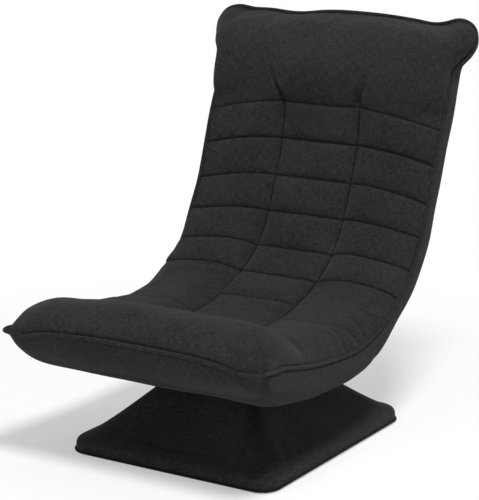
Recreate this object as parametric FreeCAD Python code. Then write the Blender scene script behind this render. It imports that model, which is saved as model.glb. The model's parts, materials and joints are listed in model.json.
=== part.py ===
import FreeCAD, Part
import math
import os
from FreeCAD import Vector as V

os.makedirs("parts", exist_ok=True)

# Swivel floor recliner. Millimetres, +Z up, the chair faces -Y, +X is the sitter's left.
# All outlines below are (y, z) points measured from the swivel axis at the floor.

# where the swivel axis stands: this far in front of the middle of the whole object
swivel_forward = 31.0
# half the width of the covered seat and back
cover_half_width = 264.0
# longer than anything here, for cutting tools
beyond = 1000.0

# clearances
soft_gap = 0.3
run_gap = 0.05
plate_gap = 0.3
hole_gap = 0.05

# base
base_width = 435.0
base_depth = 502.0
base_corner = 35.0
base_cloth = 2.0
foot_height = 6.0
foot_radius = 9.0
base_tube_radius = 11.0
base_tube_wall = 1.5
hem_bottom = 2.0
hem_height = 8.0
rim_round = 9.0
strut_radius = 8.0
strut_wall = 1.5
hub_width = 148.0
hub_depth = 170.0
hub_corner = 12.0
hub_thick = 4.0
hub_top = 144.0

# swivel bearing
race_radius = 75.0
race_thick = 2.5
ball_radius = 4.0
ball_circle = 55.0
ball_count = 12
ball_sink = 0.5
cage_half_width = 6.5
cage_thick = 2.8
pivot_radius = 6.0
pivot_head = 11.0
pivot_head_height = 8.0
washer_radius = 13.0
washer_thick = 2.2
nut_height = 9.0
screw_radius = 3.0
screw_head = 5.0
screw_head_height = 3.0
lower_screw_circle = 35.0

# frame tubes of the seat and the back
tube_radius = 9.5
tube_wall = 1.5
tube_inset = 26.0
tube_x = cover_half_width - tube_inset
seat_front = (-292.0, 206.0)
hinge = (70.0, 206.0)
seat_line_angle = 193.5
seat_line_reach = 160.0
seat_bend = 150.0
back_line_angle = 30.2
back_line_reach = 194.2
back_bend = 150.0
back_top = (397.1, 705.7)
lumbar_reach = 95.0
lumbar_radius = 8.0

# rails that carry the seat on the swivel
rail_width = 30.0
rail_height = 12.0
rail_wall = 2.0
rail_x = 62.0
rail_front = -125.0
rail_rear = 70.0
swivel_margin = 4.0
cross_width = 20.0
cross_height = 13.0
cross_front_y = -104.0
cross_rear_y = -40.0

# recline ratchet
gear_thick = 5.0
cheek_thick = 2.5
cheek_radius = 22.0
cheek_tail = 10.0
cheek_tail_reach = 62.0
gear_tip = 18.0
gear_root = 15.5
tooth_step = 9.0
tooth_lean = 0.6
mesh_angle = 250.0
mesh_gap = 0.3
pawl_reach = 25.0
pawl_pin_radius = 2.5
pawl_lift = 8.0
hinge_pin_radius = 5.0
rivet_radius = 2.5
head_height = 1.8
tang_width = 14.0
tang_start = 44.0
tang_end = 112.0
rivet_reach = (50.0, 62.0)
seat_tube_start = 76.0
back_tube_start = 36.0
arm_end = 74.0
tube_rivet_inset = 18.0
recline_forward = 27.0
recline_back = 54.0
ratchet_margin = 8.0
ratchet_half = 12.0

# webbing and foam
strap_thick = 1.6
strap_width = 45.0
strap_fit = 0.1
strap_tail = 25.0
seat_strap_reach = (55.0, 155.0)
back_strap_reach = (85.0, 175.0, 265.0, 345.0)
foam_inset = 18.0
foam_half_width = tube_x - foam_inset
seat_foam_thick = 18.0
back_foam_thick = 6.0

# covers and pads
cover_thick = 2.5
seat_cover_round = 22.0
back_cover_round = 28.0
column_seam = 85.0
column_round = 15.0
welt_radius = 3.5
welt_steps = 13
tip_swing = 20.0
tip_turn = 8.0
front_rise = 13.0
seat_welt_short = 30.0
ear_swing = 18.0
swing_steps = 60
swing_reach = 45.0
ear_clear = 3.2
ear_seat = 1.0
bend_seat_side = 127.0
bend_back_side = 98.0
fold_seat_side = 247.0
fold_back_side = 304.0
fold_core = 9.0
ear_inset = 14.0
ear_centre = (cover_half_width - ear_inset, 392.0, 727.0)
ear_radius = 42.0
ear_reach = 200.0
tip_reach = 8.0
tip = (cover_half_width + tip_reach, -363.0, 253.0)
roll_taper = 59.0
roll_straight = cover_half_width - roll_taper

# lower outline of the seat and rear outline of the back
seat_under = [(-366, 256), (-346, 222), (-318, 193), (-270, 171), (-215, 160), (-140, 153.5),
              (-73, 152), (0, 153), (40, 159), (75, 178), (112, 203)]
back_rear = [(0, 153), (40, 159), (75, 178), (112, 203), (160, 234), (220, 277), (258, 322),
             (281, 368), (310, 441), (350, 543), (390, 644), (418, 715), (426, 742)]
# line of the welt along the side, front part and rear part
seat_edge = [(-366, 256), (-340, 250), (-280, 247), (-161, 223), (-72, 215.6), (-15, 213.7), (59, 232),
             (112, 265)]
back_edge = [(0, 214), (59, 232), (82, 247), (99, 258), (155, 288), (190, 323), (232, 388), (255, 442),
             (275, 501), (296, 551), (312, 594), (337, 663), (385, 752)]
# crowned face of the side columns, from the front roll to the head pad
face_line = [(-224, 270), (-120, 256), (-24, 259), (45, 270), (110, 288), (172, 324), (222, 380),
             (256, 441), (277, 505), (288, 566), (292, 612)]
centre_sink = 9.0


def polar(c, r, deg):
    a = math.radians(deg)
    return (c[0] + r * math.cos(a), c[1] + r * math.sin(a))


def at(p, x=0.0):
    return V(x, p[0], p[1])


def line(p, q):
    return Part.LineSegment(at(p), at(q)).toShape()


def arc(p, m, q):
    return Part.Arc(at(p), at(m), at(q)).toShape()


def curve(points):
    spline = Part.BSplineCurve()
    spline.interpolate([at(p) for p in points])
    return spline.toShape()


def chain(points):
    return [line(p, q) for p, q in zip(points, points[1:])]


def prism(edges, x0, x1):
    face = Part.Face(Part.Wire(Part.__sortEdges__(edges)))
    face.translate(V(x0, 0, 0))
    return face.extrude(V(x1 - x0, 0, 0))


def block(points, x0, x1):
    return prism(chain(list(points) + [points[0]]), x0, x1)


def cross_bar(p, r, x0, x1):
    return Part.makeCylinder(r, x1 - x0, at(p, x0), V(1, 0, 0))


def upright(x, y, r, z0, z1):
    return Part.makeCylinder(r, z1 - z0, V(x, y, z0), V(0, 0, 1))


def meet(p, u, q, w):
    d = u[0] * w[1] - u[1] * w[0]
    s = ((q[0] - p[0]) * w[1] - (q[1] - p[1]) * w[0]) / d
    return (p[0] + s * u[0], p[1] + s * u[1])


def heading(p, q):
    n = math.hypot(q[0] - p[0], q[1] - p[1])
    return ((q[0] - p[0]) / n, (q[1] - p[1]) / n)


def moved(p, u, s):
    return (p[0] + u[0] * s, p[1] + u[1] * s)


def shifted(points, d):
    # the broken line moved d towards the sitter
    rows = []
    for p, q in zip(points, points[1:]):
        u = heading(p, q)
        rows.append((moved(p, (-u[1], u[0]), d), u))
    last = points[-1]
    u = rows[-1][1]
    out = [rows[0][0]]
    for (p, a), (q, b) in zip(rows, rows[1:]):
        out.append(meet(p, a, q, b))
    out.append(moved(last, (-u[1], u[0]), d))
    return out


def bent(points, radius, x, r):
    # round bar along a line with one rounded bend
    a, b, c = points
    u = heading(b, a)
    w = heading(b, c)
    half = math.acos(u[0] * w[0] + u[1] * w[1]) / 2
    t = radius / math.tan(half)
    mid = heading((0, 0), (u[0] + w[0], u[1] + w[1]))
    p = moved(b, u, t)
    q = moved(b, w, t)
    m = moved(b, mid, radius / math.sin(half) - radius)
    wire = Part.Wire([line(a, p), arc(p, m, q), line(q, c)])
    wire.translate(V(x, 0, 0))
    ring = Part.Wire(Part.makeCircle(r, at(a, x), at(u, 0)))
    return wire.makePipeShell([ring], True, True)


def bent_tube(points, radius, x):
    return bent(points, radius, x, tube_radius).cut(bent(points, radius, x, tube_radius - tube_wall))


def wedge(a0, a1):
    # all that lies between two half planes that leave the hinge axis
    steps = 4
    rim = [polar(hinge, 2 * beyond, a0 + (a1 - a0) * i / steps) for i in range(steps + 1)]
    return block([hinge] + rim, -beyond, beyond)


def mirrored(shape):
    return shape.mirror(V(0, 0, 0), V(1, 0, 0))


def rounded_plate(width, depth, corner, z0, z1):
    a = width / 2
    b = depth / 2
    c = corner
    k = c * (1 - math.sqrt(0.5))
    pts = [(a, b - c), (a - k, b - k), (a - c, b), (c - a, b), (k - a, b - k), (-a, b - c),
           (-a, c - b), (k - a, k - b), (c - a, -b), (a - c, -b), (a - k, k - b), (a, c - b)]
    v = [V(x, y, z0) for x, y in pts]
    edges = []
    for i in (0, 3, 6, 9):
        edges.append(Part.Arc(v[i], v[i + 1], v[i + 2]).toShape())
        edges.append(Part.LineSegment(v[i + 2], v[(i + 3) % 12]).toShape())
    wire = Part.Wire(edges)
    if z1 is None:
        return wire
    return Part.Face(wire).extrude(V(0, 0, z1 - z0))


def hexagon(x, y, r, z0, z1):
    corners = [polar((x, y), r, 60 * i) for i in range(7)]
    return Part.Face(Part.makePolygon([V(a, b, z0) for a, b in corners])).extrude(V(0, 0, z1 - z0))


def welt(points):
    spline = Part.BSplineCurve()
    spline.interpolate(points)
    start = spline.parameterAtDistance(0, spline.FirstParameter)
    ring = Part.Wire(Part.makeCircle(welt_radius, points[0], spline.tangent(start)[0]))
    return Part.Wire(spline.toShape()).makePipeShell([ring], True, False)


def keep(name, shape):
    placed = shape.copy()
    placed.translate(V(0, -swivel_forward, 0))
    placed.exportStep("parts/" + name + ".step")


def keep_pair(name, shape):
    keep(name + "_left", shape)
    keep(name + "_right", mirrored(shape))


def keep_group(name, solids):
    keep(name, Part.makeCompound(solids + [mirrored(s) for s in solids]))


# base ring, feet and struts
ring_z = foot_height + base_tube_radius
ring_top = ring_z + base_tube_radius
ring_inset = base_cloth + soft_gap + base_tube_radius
ring_width = base_width - 2 * ring_inset
ring_depth = base_depth - 2 * ring_inset
ring_corner = base_corner - ring_inset
ring_path = rounded_plate(ring_width, ring_depth, ring_corner, ring_z, None)


def ring_bar(r):
    start = V(ring_width / 2, ring_depth / 2 - ring_corner, ring_z)
    circle = Part.Wire(Part.makeCircle(r, start, V(0, 1, 0)))
    return ring_path.makePipeShell([circle], True, True)


ring_solid = ring_bar(base_tube_radius)
base_ring = ring_solid.cut(ring_bar(base_tube_radius - base_tube_wall))
corner_k = ring_corner * (1 - math.sqrt(0.5))
foot_x = ring_width / 2 - corner_k
foot_y = ring_depth / 2 - corner_k
feet = []
for sx in (-1, 1):
    for sy in (-1, 1):
        pad = upright(sx * foot_x, sy * foot_y, foot_radius, 0, ring_z)
        pad = pad.cut(ring_solid)
        pad = max(pad.Solids, key=lambda s: -s.CenterOfMass.z)
        feet.append(pad)
keep("base_ring", base_ring)
keep("base_feet", Part.makeCompound(feet))

hub_under = hub_top - hub_thick
strut_top = (hub_width / 2 - 12.5, hub_depth / 2 - 14.5)
strut_low = V(foot_x - 4, foot_y - 4, ring_z)
strut_high = V(strut_top[0], strut_top[1], hub_under - 2.5)
strut_dir = strut_high - strut_low
strut_len = strut_dir.Length + 40
strut_solid = Part.makeCylinder(strut_radius, strut_len, strut_low, strut_dir)
strut_bore = Part.makeCylinder(strut_radius - strut_wall, strut_len, strut_low, strut_dir)
above_hub = Part.makeBox(2 * beyond, 2 * beyond, beyond, V(-beyond, -beyond, hub_under))
strut = strut_solid.cut(strut_bore).cut(above_hub).cut(ring_solid)
strut = max(strut.Solids, key=lambda s: s.Volume)
keep("base_strut_rear_left", strut)
keep("base_strut_rear_right", mirrored(strut))
front_strut = strut.mirror(V(0, 0, 0), V(0, 1, 0))
keep("base_strut_front_left", front_strut)
keep("base_strut_front_right", mirrored(front_strut))

pivot_hole = upright(0, 0, pivot_radius + run_gap, 0, beyond)
lower_spots = [polar((0, 0), lower_screw_circle, 45 + 90 * i) for i in range(4)]
lower_holes = [upright(x, y, screw_radius + hole_gap, 0, beyond) for x, y in lower_spots]
hub_plate = rounded_plate(hub_width, hub_depth, hub_corner, hub_under, hub_top)
keep("hub_plate", hub_plate.cut(pivot_hole).cut(Part.makeCompound(lower_holes)))

# base cover: a rim over the ring and a tent up to the hub plate
hem_top = hem_bottom + hem_height
rim_top = ring_top + base_cloth + soft_gap
tent_low = rim_top - 2
tent_inset = 13.0


def tent(t):
    rim = rounded_plate(base_width - 2 * t, base_depth - 2 * t, base_corner - t, hem_top, rim_top - t)
    edges = [e for e in rim.Edges if e.CenterOfMass.z > rim_top - t - 0.01]
    rim = rim.makeFillet(rim_round - t, edges)
    inset = tent_inset + t
    low = rounded_plate(base_width - 2 * inset, base_depth - 2 * inset, base_corner - tent_inset,
                        tent_low - t, None)
    grow = base_cloth + soft_gap - t
    high = rounded_plate(hub_width + 2 * grow, hub_depth + 2 * grow, hub_corner + grow, hub_top, None)
    return rim.fuse(Part.makeLoft([low, high], True, True))


hem = rounded_plate(base_width, base_depth, base_corner, hem_bottom, hem_top)
inner_width = base_width - 2 * base_cloth
inner_depth = base_depth - 2 * base_cloth
open_below = rounded_plate(inner_width, inner_depth, base_corner - base_cloth, 0, hem_top + 1)
keep("base_hem", hem.cut(open_below))
keep("base_cover", tent(0).cut(tent(base_cloth)).cut(open_below))

# swivel bearing
ball_z = hub_top + race_thick - ball_sink + ball_radius
race_gap = 2 * (ball_radius - ball_sink)
upper_z = hub_top + race_thick + race_gap
upper_top = upper_z + race_thick
groove = Part.makeTorus(ball_circle, ball_radius + run_gap, V(0, 0, ball_z))
lower_race = upright(0, 0, race_radius, hub_top, hub_top + race_thick).cut(groove).cut(pivot_hole)
keep("lower_race", lower_race.cut(Part.makeCompound(lower_holes)))
rail_spots = []
for sx in (-1, 1):
    for sy in (-1, 1):
        rail_spots.append((sx * rail_x, sy * 30.0))
rail_holes = Part.makeCompound([upright(x, y, screw_radius + hole_gap, 0, beyond) for x, y in rail_spots])
upper_race = upright(0, 0, race_radius, upper_z, upper_top).cut(groove).cut(pivot_hole)
keep("upper_race", upper_race.cut(rail_holes))
balls = []
pockets = []
for i in range(ball_count):
    x, y = polar((0, 0), ball_circle, 360.0 * i / ball_count)
    balls.append(Part.makeSphere(ball_radius, V(x, y, ball_z)))
    pockets.append(upright(x, y, ball_radius + 0.2, ball_z - 10, ball_z + 10))
cage = upright(0, 0, ball_circle + cage_half_width, ball_z - cage_thick / 2, ball_z + cage_thick / 2)
cage = cage.cut(upright(0, 0, ball_circle - cage_half_width, 0, beyond))
keep("ball_cage", cage.cut(Part.makeCompound(pockets)))
keep("balls", Part.makeCompound(balls))

nut_z = upper_top + run_gap
pivot = hexagon(0, 0, pivot_head, hub_under - pivot_head_height, hub_under)
keep("pivot_bolt", pivot.fuse(upright(0, 0, pivot_radius, hub_under, nut_z + washer_thick + nut_height + 2)))
flange = upright(0, 0, washer_radius, nut_z, nut_z + washer_thick)
nut = flange.fuse(hexagon(0, 0, pivot_head, nut_z + washer_thick, nut_z + washer_thick + nut_height))
keep("pivot_nut", nut.cut(pivot_hole))
lower_screws = []
for x, y in lower_spots:
    head = upright(x, y, screw_head, hub_top + race_thick, hub_top + race_thick + screw_head_height)
    lower_screws.append(head.fuse(upright(x, y, screw_radius, hub_under - 1, hub_top + race_thick)))
keep("lower_race_screws", Part.makeCompound(lower_screws))
rail_screws = []
for x, y in rail_spots:
    head = upright(x, y, screw_head, upper_z - screw_head_height, upper_z)
    rail_screws.append(head.fuse(upright(x, y, screw_radius, upper_z, upper_top + rail_wall + 2)))
keep("upper_race_screws", Part.makeCompound(rail_screws))

# frame lines
seat_knee = polar(hinge, seat_line_reach, seat_line_angle)
back_knee = polar(hinge, back_line_reach, back_line_angle)
seat_end = polar(hinge, seat_tube_start, seat_line_angle)
back_end = polar(hinge, back_tube_start, back_line_angle)
frame_line = [seat_front, seat_knee, hinge, back_knee, back_top]
seat_run = heading(seat_knee, seat_front)
back_run = heading(back_knee, back_top)

# swivel rails and cross rails
rails = []
rail_top = upper_top + rail_height
for sx in (-1, 1):
    x0 = sx * rail_x - rail_width / 2
    rail = Part.makeBox(rail_width, rail_rear - rail_front, rail_height, V(x0, rail_front, upper_top))
    bore = Part.makeBox(rail_width - 2 * rail_wall, rail_rear - rail_front, rail_height - 2 * rail_wall,
                        V(x0 + rail_wall, rail_front, upper_top + rail_wall))
    rails.append(rail.cut(bore).cut(rail_holes))
keep("swivel_rail_right", rails[0])
keep("swivel_rail_left", rails[1])
seat_line = [seat_end, seat_knee, seat_front]
side_solids = Part.makeCompound([bent(seat_line, seat_bend, s * tube_x, tube_radius) for s in (-1, 1)])
for name, y in (("cross_rail_front", cross_front_y), ("cross_rail_rear", cross_rear_y)):
    bar = Part.makeBox(2 * tube_x, cross_width, cross_height, V(-tube_x, y - cross_width / 2, rail_top))
    bore = Part.makeBox(2 * tube_x, cross_width - 2 * rail_wall, cross_height - 2 * rail_wall,
                        V(-tube_x, y - cross_width / 2 + rail_wall, rail_top + rail_wall))
    bar = bar.cut(bore).cut(side_solids)
    keep(name, max(bar.Solids, key=lambda s: s.Volume))

# seat and back tubes
rivet_at_seat = polar(hinge, seat_tube_start + tube_rivet_inset, seat_line_angle)
rivet_at_back = polar(hinge, back_tube_start + tube_rivet_inset, back_line_angle)
tube_rivet_len = tube_radius + 1.2
seat_side = bent_tube(seat_line, seat_bend, tube_x)
seat_side = seat_side.cut(cross_bar(rivet_at_seat, rivet_radius + hole_gap, tube_x - 20, tube_x + 20))
keep_pair("seat_tube", seat_side)
front_cross = cross_bar(seat_front, tube_radius, -tube_x, tube_x)
front_bore = cross_bar(seat_front, tube_radius - tube_wall, -tube_x, tube_x)
front_cross = front_cross.cut(front_bore).cut(side_solids)
keep("seat_tube_front", max(front_cross.Solids, key=lambda s: s.Volume))
top_past = moved(back_top, back_run, tube_radius)
back_line = [back_end, back_knee, top_past]
back_solids = Part.makeCompound([bent(back_line, back_bend, s * tube_x, tube_radius) for s in (-1, 1)])
back_side = bent_tube(back_line, back_bend, tube_x)
back_side = back_side.cut(cross_bar(rivet_at_back, rivet_radius + hole_gap, tube_x - 20, tube_x + 20))
keep_pair("back_tube", back_side)
lumbar = moved(back_knee, back_run, lumbar_reach)
for name, p, r in (("back_tube_top", back_top, tube_radius), ("back_tube_lumbar", lumbar, lumbar_radius)):
    bar = cross_bar(p, r, -tube_x, tube_x).cut(cross_bar(p, r - tube_wall, -tube_x, tube_x)).cut(back_solids)
    keep(name, max(bar.Solids, key=lambda s: s.Volume))

# recline ratchets: the sitter's left one at +X, mirrored for the right
gear_x = (tube_x - gear_thick / 2, tube_x + gear_thick / 2)
inner_x = (gear_x[0] - plate_gap - cheek_thick, gear_x[0] - plate_gap)
outer_x = (gear_x[1] + plate_gap, gear_x[1] + plate_gap + cheek_thick)
mesh_point = polar(hinge, gear_tip, mesh_angle)
pawl_pivot = polar(mesh_point, pawl_reach, mesh_angle - 90)


def plain_bar(c, deg, s0, s1, width, x):
    u = (math.cos(math.radians(deg)), math.sin(math.radians(deg)))
    n = (-u[1], u[0])
    corners = []
    for s, k in ((s0, -1), (s1, -1), (s1, 1), (s0, 1)):
        corners.append(moved(moved(c, u, s), n, k * width / 2))
    return block(corners, x[0], x[1])


def teardrop(c, r, d, q, x):
    # two rounds joined by their outer tangents
    u = heading(c, d)
    dist = math.hypot(d[0] - c[0], d[1] - c[1])
    lean = math.asin((r - q) / dist)
    base = math.atan2(u[1], u[0])
    a1 = math.degrees(base + math.pi / 2 - lean)
    a2 = math.degrees(base - math.pi / 2 + lean)
    p1 = polar(c, r, a1)
    p2 = polar(c, r, a2)
    q1 = polar(d, q, a1)
    q2 = polar(d, q, a2)
    edges = [line(p1, q1), arc(q1, moved(d, u, q), q2), line(q2, p2), arc(p2, moved(c, u, -r), p1)]
    return prism(edges, x[0], x[1])


def toothed(grow):
    first = mesh_angle - recline_forward - 2 * tooth_step
    count = int(round((recline_forward + recline_back) / tooth_step)) + 4
    slack = math.degrees(grow / gear_root)
    root = gear_root + 2 * grow
    pts = []
    for k in range(count):
        a = first + k * tooth_step
        pts.append(polar(hinge, root, a - slack))
        pts.append(polar(hinge, gear_tip + 2 * grow, a + tooth_lean - slack))
    last = first + count * tooth_step
    pts.append(polar(hinge, root, last))
    edges = chain(pts)
    turn = (last + first + 360) / 2
    edges.append(arc(pts[-1], polar(hinge, root, turn), pts[0]))
    return prism(edges, gear_x[0], gear_x[1])


pin_hole = cross_bar(hinge, hinge_pin_radius + run_gap, tube_x - 20, tube_x + 20)
arm = plain_bar(hinge, back_line_angle, 0, arm_end, tang_width, gear_x)
gear_rivet_hole = cross_bar(rivet_at_back, rivet_radius + hole_gap, tube_x - 20, tube_x + 20)
keep_pair("gear_plate", toothed(0).fuse(arm).cut(pin_hole).cut(gear_rivet_hole).removeSplitter())

cheek_end = polar(hinge, cheek_tail_reach, seat_line_angle)
tang_spots = [polar(hinge, s, seat_line_angle) for s in rivet_reach]
cheek_holes = [cross_bar(p, rivet_radius + hole_gap, tube_x - 20, tube_x + 20) for p in tang_spots]
cheek_holes.append(cross_bar(pawl_pivot, pawl_pin_radius + hole_gap, tube_x - 20, tube_x + 20))
cheek_holes.append(cross_bar(hinge, hinge_pin_radius + hole_gap, tube_x - 20, tube_x + 20))
cheek_holes = Part.makeCompound(cheek_holes)
cheeks = [teardrop(hinge, cheek_radius, cheek_end, cheek_tail, xs) for xs in (inner_x, outer_x)]
keep_pair("cheeks", Part.makeCompound([cheek.cut(cheek_holes) for cheek in cheeks]))
tang = plain_bar(hinge, seat_line_angle, tang_start, tang_end, tang_width, gear_x).cut(cheek_holes)
keep_pair("seat_tang", tang.cut(cross_bar(rivet_at_seat, rivet_radius + hole_gap, tube_x - 20, tube_x + 20)))


def riveted(p, r, head_r, x0, x1):
    low = cross_bar(p, head_r, x0 - head_height, x0)
    high = cross_bar(p, head_r, x1, x1 + head_height)
    return cross_bar(p, r, x0, x1).fuse(low).fuse(high)


pin_x = (inner_x[0], outer_x[1])
keep_group("hinge_pins", [riveted(hinge, hinge_pin_radius, hinge_pin_radius + 3, *pin_x)])
keep_group("pawl_pins", [riveted(pawl_pivot, pawl_pin_radius, pawl_pin_radius + 1.5, *pin_x)])
rivets = [riveted(p, rivet_radius, rivet_radius + 1.5, *pin_x) for p in tang_spots]
rivets.append(cross_bar(rivet_at_seat, rivet_radius, tube_x - tube_rivet_len, tube_x + tube_rivet_len))
keep_group("tang_rivets", rivets)
arm_rivet = cross_bar(rivet_at_back, rivet_radius, tube_x - tube_rivet_len, tube_x + tube_rivet_len)
keep_group("arm_rivets", [arm_rivet])

pawl_half = 1.5 * tooth_step
block_pts = []
for r, a0, a1 in ((gear_root, -1, 1), (cheek_radius, 1, -1)):
    for a in (a0, a1):
        block_pts.append(polar(hinge, r, mesh_angle + a * pawl_half))
jaw = block(block_pts, gear_x[0] + soft_gap, gear_x[1] - soft_gap)
jaw_x = (gear_x[0] + soft_gap, gear_x[1] - soft_gap)
jaw_mid = polar(hinge, (gear_tip + cheek_radius) / 2, mesh_angle)
lever_run = heading(pawl_pivot, jaw_mid)
lever_deg = math.degrees(math.atan2(lever_run[1], lever_run[0]))
lever = plain_bar(pawl_pivot, lever_deg, 0, pawl_reach - 4, 7.0, jaw_x)
boss = cross_bar(pawl_pivot, 5.5, jaw_x[0], jaw_x[1])
pawl = jaw.fuse(lever).fuse(boss).cut(toothed(mesh_gap))
pawl = max(pawl.Solids, key=lambda s: s.Volume)
pawl = pawl.cut(cross_bar(pawl_pivot, pawl_pin_radius + run_gap, tube_x - 20, tube_x + 20)).removeSplitter()
pawl.rotate(at(pawl_pivot), V(1, 0, 0), -pawl_lift)
keep_pair("pawl", pawl)

# leaf spring from the lower edge of the tang to the back of the pawl
leaf = 0.6
tang_mid = polar(hinge, tang_start + 5, seat_line_angle)
tang_down = polar((0, 0), 1, seat_line_angle + 90)
tang_low = moved(tang_mid, tang_down, tang_width / 2 + 0.1)
pawl_low = min((v.Point for v in pawl.Vertexes), key=lambda p: p.z - 0.4 * p.y)
leaf_end = (pawl_low.y - 4, pawl_low.z - 0.9)
leaf_mid = ((tang_low[0] + leaf_end[0]) / 2, min(tang_low[1], leaf_end[1]) - 3.0)
leaf_in = [tang_low, leaf_mid, leaf_end]
leaf_out = [(p[0], p[1] - leaf) for p in leaf_in]
leaf_edges = [arc(*leaf_in), line(leaf_in[2], leaf_out[2]), arc(*leaf_out), line(leaf_out[0], leaf_in[0])]
keep_group("pawl_springs", [prism(leaf_edges, tube_x - 2, tube_x + 2)])

# webbing straps hooked over the side tubes
strap_in = tube_radius + strap_fit
strap_out = strap_in + strap_thick


def strap(p, run):
    w = V(0, run[0], run[1])
    n = V(0, -run[1], run[0])
    if n.z < 0:
        n = n * -1

    def pt(x, k):
        return at(p, x) + n * k

    def seg(a, b):
        return Part.LineSegment(a, b).toShape()

    def turn(s, r):
        return Part.Arc(pt(s * tube_x, -r), pt(s * (tube_x + r), 0), pt(s * tube_x, r)).toShape()

    tail = tube_x - strap_tail
    edges = []
    for s in (-1, 1):
        edges.append(seg(pt(s * tail, -strap_out), pt(s * tube_x, -strap_out)))
        edges.append(turn(s, strap_out))
        edges.append(turn(s, strap_in))
        edges.append(seg(pt(s * tail, -strap_in), pt(s * tube_x, -strap_in)))
        edges.append(seg(pt(s * tail, -strap_out), pt(s * tail, -strap_in)))
    edges.append(seg(pt(-tube_x, strap_out), pt(tube_x, strap_out)))
    edges.append(seg(pt(-tube_x, strap_in), pt(tube_x, strap_in)))
    face = Part.Face(Part.Wire(Part.__sortEdges__(edges)))
    face.translate(w * (-strap_width / 2))
    return face.extrude(w * strap_width)


seat_straps = [strap(moved(seat_knee, seat_run, s), seat_run) for s in seat_strap_reach]
back_straps = [strap(moved(back_knee, back_run, s), back_run) for s in back_strap_reach]
keep("seat_webbing", Part.makeCompound(seat_straps))
keep("back_webbing", Part.makeCompound(back_straps))

# foam, cut where it bends
seat_zone = wedge(bend_seat_side, fold_seat_side)
back_zone = wedge(fold_back_side - 360, bend_back_side)
hinge_room = cross_bar(hinge, cheek_radius + 3, -beyond, beyond)
foam_rear = shifted(frame_line, strap_out)
seat_foam_face = shifted(frame_line, strap_out + seat_foam_thick)
back_foam_face = shifted(frame_line, strap_out + back_foam_thick)
foam_front = moved(seat_front, seat_run, -68)


def slab(low, high, x):
    return block(low + high[::-1], -x, x)


seat_slab = slab(foam_rear, seat_foam_face, foam_half_width).common(seat_zone)
front_limit = Part.makeBox(2 * beyond, beyond, beyond, V(-beyond, foam_front[0], 0))
keep("seat_foam", seat_slab.common(front_limit).cut(hinge_room))
back_slab = slab(foam_rear, back_foam_face, foam_half_width).common(back_zone)
keep("back_foam", back_slab.cut(hinge_room))

# columns of the pad between the front roll and the head pad
pad_half_width = cover_half_width - cover_thick - soft_gap
roll_rear = face_line[0][0]
head_low = face_line[-1]
back_slope = math.atan2(back_run[1], back_run[0])


def column(x0, x1, sink, foam_face, count, outer):
    # the pad between the foam and the crowned face, over the first count points of the face
    first = heading(foam_face[0], foam_face[1])
    start = meet(foam_face[0], first, (roll_rear, 0), (0, 1))
    span = 3 if count < len(face_line) else 4
    u = heading(foam_face[span - 1], foam_face[span])
    end = meet(foam_face[span - 1], u, face_line[count - 1], (-u[1], u[0]))
    low = [start] + foam_face[1:span] + [end]
    top = []
    for i, p in enumerate(face_line[:count]):
        lean = back_slope * i / (len(face_line) - 1)
        top.append((p[0] + sink * math.sin(lean), p[1] - sink * math.cos(lean)))
    face_edge = curve(top)
    body = prism(chain(low) + [line(low[0], top[0]), face_edge, line(top[-1], low[-1])], x0, x1)
    if outer:
        mark = face_edge.CenterOfMass + V(x1, 0, 0)
        edge = min(body.Edges, key=lambda e: (e.CenterOfMass - mark).Length)
        body = body.makeFillet(column_round, [edge])
    return body


def pad_column(sink, foam_face, count, side):
    if side:
        return column(column_seam, pad_half_width, sink, foam_face, count, True)
    return column(-column_seam, column_seam, sink, foam_face, count, False)


bend_zone = wedge(bend_back_side + 0.4, bend_seat_side)
bend_parts = []
for name, sink, side in (("side", 0.0, True), ("centre", centre_sink, False)):
    low_col = pad_column(sink, seat_foam_face, 6, side).cut(hinge_room)
    seat_col = low_col.common(seat_zone)
    bend_col = low_col.common(bend_zone)
    back_col = pad_column(sink, back_foam_face, len(face_line), side).common(back_zone).cut(hinge_room)
    if side:
        keep_pair("seat_pad", seat_col)
        keep_pair("back_pad", back_col)
        bend_parts.append(bend_col)
        bend_parts.append(mirrored(bend_col))
    else:
        keep("seat_pad_centre", seat_col)
        keep("back_pad_centre", back_col)
        bend_parts.append(bend_col)
keep("bend_pad", Part.makeCompound(bend_parts))

# front roll with tapered corner tips
roll_crest = (-292.0, 314.0)
roll_nose = (-364.0, 260.0)
roll_low = (-320.0, 200.0)
tube_room = tube_radius + soft_gap


def roll_points():
    rear_low = (roll_rear - soft_gap, seat_front[1] + tube_room + 4)
    return [
        (seat_front[0] - tube_room, roll_low[1]), roll_low, roll_nose, (-342.0, 298.0), roll_crest,
        (-252.0, 303.0), (roll_rear - soft_gap, face_line[0][1]), rear_low,
        (seat_front[0] - tube_room, rear_low[1])]


def roll_wire(x, scale):
    p = [(q[0], tip[2] + (q[1] - tip[2]) * scale) for q in roll_points()]
    edges = [line(p[0], p[1]), line(p[1], p[2]), arc(p[2], p[3], p[4]), arc(p[4], p[5], p[6]),
             line(p[6], p[7]), line(p[7], p[8]), line(p[8], p[0])]
    wire = Part.Wire(edges)
    wire.translate(V(x, 0, 0))
    return wire


roll = Part.Face(roll_wire(-roll_straight, 1)).extrude(V(2 * roll_straight, 0, 0))
taper_mid = roll_straight + 0.62 * (pad_half_width - roll_straight)
taper = Part.makeLoft([roll_wire(roll_straight, 1), roll_wire(taper_mid, 0.78)], True, True)
taper_end = Part.makeLoft([roll_wire(taper_mid, 0.78), roll_wire(pad_half_width, 0.3)], True, True)
taper = taper.fuse(taper_end)
roll = roll.fuse(taper).fuse(mirrored(taper))
seat_foam_room = slab(foam_rear, seat_foam_face, foam_half_width).common(front_limit)
front_roll = roll.cut(seat_foam_room).removeSplitter()

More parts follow.
